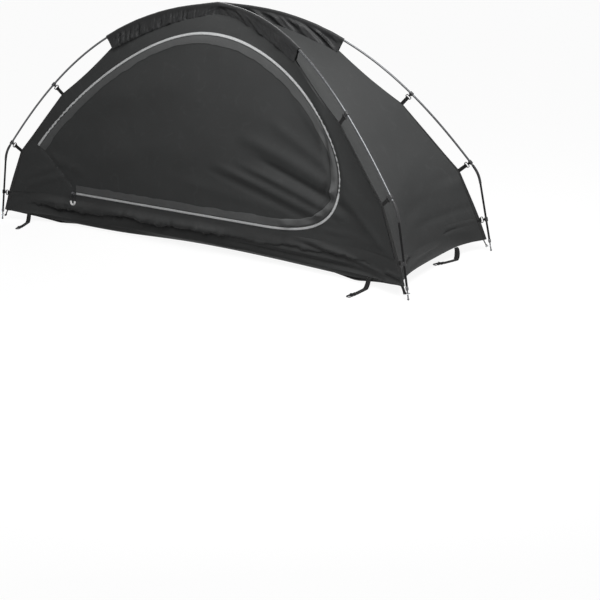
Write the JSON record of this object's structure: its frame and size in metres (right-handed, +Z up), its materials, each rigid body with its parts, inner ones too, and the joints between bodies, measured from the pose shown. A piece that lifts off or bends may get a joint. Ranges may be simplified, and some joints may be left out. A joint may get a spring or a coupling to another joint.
{
  "type": "one-person tent",
  "caption": "Low one-person tent on two crossed arched poles, with clipped-on charcoal walls, a tub floor, a D-shaped zipped door, ground straps and a lantern hook.",
  "frame": {"origin": "middle of the ground that the tent covers, on the underside of the tub floor", "axes": "+Z up, X along the tent, Y across it with the door towards -Y"},
  "size_m": [2.208, 0.8931, 1.004],
  "materials": {
    "wall_cloth": "matt charcoal woven cloth",
    "tub_cloth": "coated black groundsheet cloth",
    "sleeve_cloth": "slightly glossy black cloth",
    "webbing": "woven black webbing",
    "plastic": "moulded black plastic",
    "pole_metal": "dark anodised",
    "bare_metal": "plain bright metal",
    "zip_tape": "pale grey zip tape",
    "pull_cord": "white cord"
  },
  "bodies": {
    "tent": {"back_wall": "wall_cloth", "clip_high_back_left": "plastic", "clip_high_back_right": "plastic", "clip_high_front_left": "plastic", "clip_high_front_right": "plastic", "clip_low_back_left": "plastic", "clip_low_back_right": "plastic", "clip_low_front_left": "plastic", "clip_low_front_right": "plastic", "clip_middle_back_left": "plastic", "clip_middle_back_right": "plastic", "clip_middle_front_left": "plastic", "clip_middle_front_right": "plastic", "corner_ring_back_left": "bare_metal", "corner_ring_back_right": "bare_metal", "corner_ring_front_left": "bare_metal", "corner_ring_front_right": "bare_metal", "front_wall": "wall_cloth", "ground_strap_back_left": "webbing", "ground_strap_back_right": "webbing", "ground_strap_front_left": "webbing", "ground_strap_front_right": "webbing", "left_end_wall": "wall_cloth", "peak_patch": "webbing", "pole_a_elbow_back_right": "plastic", "pole_a_elbow_front_left": "plastic", "pole_a_leg_back_right": "pole_metal", "pole_a_leg_front_left": "pole_metal", "pole_a_middle_rod": "pole_metal", "pole_a_side_rod_back_right": "pole_metal", "pole_a_side_rod_front_left": "pole_metal", "pole_a_tip_back_right": "bare_metal", "pole_a_tip_front_left": "bare_metal", "pole_b_elbow_back_left": "plastic", "pole_b_elbow_front_right": "plastic", "pole_b_leg_back_left": "pole_metal", "pole_b_leg_front_right": "pole_metal", "pole_b_middle_rod": "pole_metal", "pole_b_side_rod_back_left": "pole_metal", "pole_b_side_rod_front_right": "pole_metal", "pole_b_tip_back_left": "bare_metal", "pole_b_tip_front_right": "bare_metal", "pole_sleeve_crown": "sleeve_cloth", "ridge_webbing_back_left": "webbing", "ridge_webbing_back_right": "webbing", "ridge_webbing_front_left": "webbing", "ridge_webbing_front_right": "webbing", "right_end_wall": "wall_cloth", "tub_floor": "tub_cloth", "zip_tape_wall": "zip_tape"},
    "door": {"door_panel": "wall_cloth", "zip_tape_door": "zip_tape"},
    "zip_slider": {"zip_slider": "bare_metal"},
    "zip_pull": {"zip_pull": "pull_cord"},
    "lantern_hook": {"lantern_hook": "bare_metal"},
    "strap_hook_front_left": {"strap_hook_front_left": "plastic"},
    "strap_hook_front_right": {"strap_hook_front_right": "plastic"},
    "strap_hook_back_right": {"strap_hook_back_right": "plastic"},
    "strap_hook_back_left": {"strap_hook_back_left": "plastic"}
  },
  "joints": [
    {"name": "door_hinge", "type": "hinge", "parent": "tent", "child": "door", "pos_m": [-0.678, -0.26145, 0.158], "axis": [0.6955, 0.0567, -0.7163], "range_deg": [0, 38]},
    {"name": "zip_slide", "type": "slide", "parent": "tent", "child": "zip_slider", "axis": [1, 0, 0], "range_m": [0, 1]},
    {"name": "zip_pull_hinge", "type": "hinge", "parent": "zip_slider", "child": "zip_pull", "pos_m": [-0.692, -0.27302, 0.15886], "axis": [-1, 0, 0], "range_deg": [0, 80]},
    {"name": "lantern_swing", "type": "hinge", "parent": "tent", "child": "lantern_hook", "pos_m": [0, 0, 0.92397], "axis": [1, 0, 0], "range_deg": [-35, 35]},
    {"name": "strap_hook_hinge_front_left", "type": "hinge", "parent": "tent", "child": "strap_hook_front_left", "pos_m": [-0.91007, -0.41194, 0.0042], "axis": [-0.9119, -0.4105, 0], "range_deg": [0, 120]},
    {"name": "strap_hook_hinge_front_right", "type": "hinge", "parent": "tent", "child": "strap_hook_front_right", "pos_m": [0.89696, -0.40974, 0.0042], "axis": [-0.9992, 0.039, 0], "range_deg": [0, 120]},
    {"name": "strap_hook_hinge_back_right", "type": "hinge", "parent": "tent", "child": "strap_hook_back_right", "pos_m": [1.00167, 0.08643, 0.0042], "axis": [-0.9387, 0.3448, 0], "range_deg": [0, 120]},
    {"name": "strap_hook_hinge_back_left", "type": "hinge", "parent": "tent", "child": "strap_hook_back_left", "pos_m": [-0.92757, 0.41534, 0.0042], "axis": [0.8677, -0.497, 0], "range_deg": [0, 120]}
  ]
}
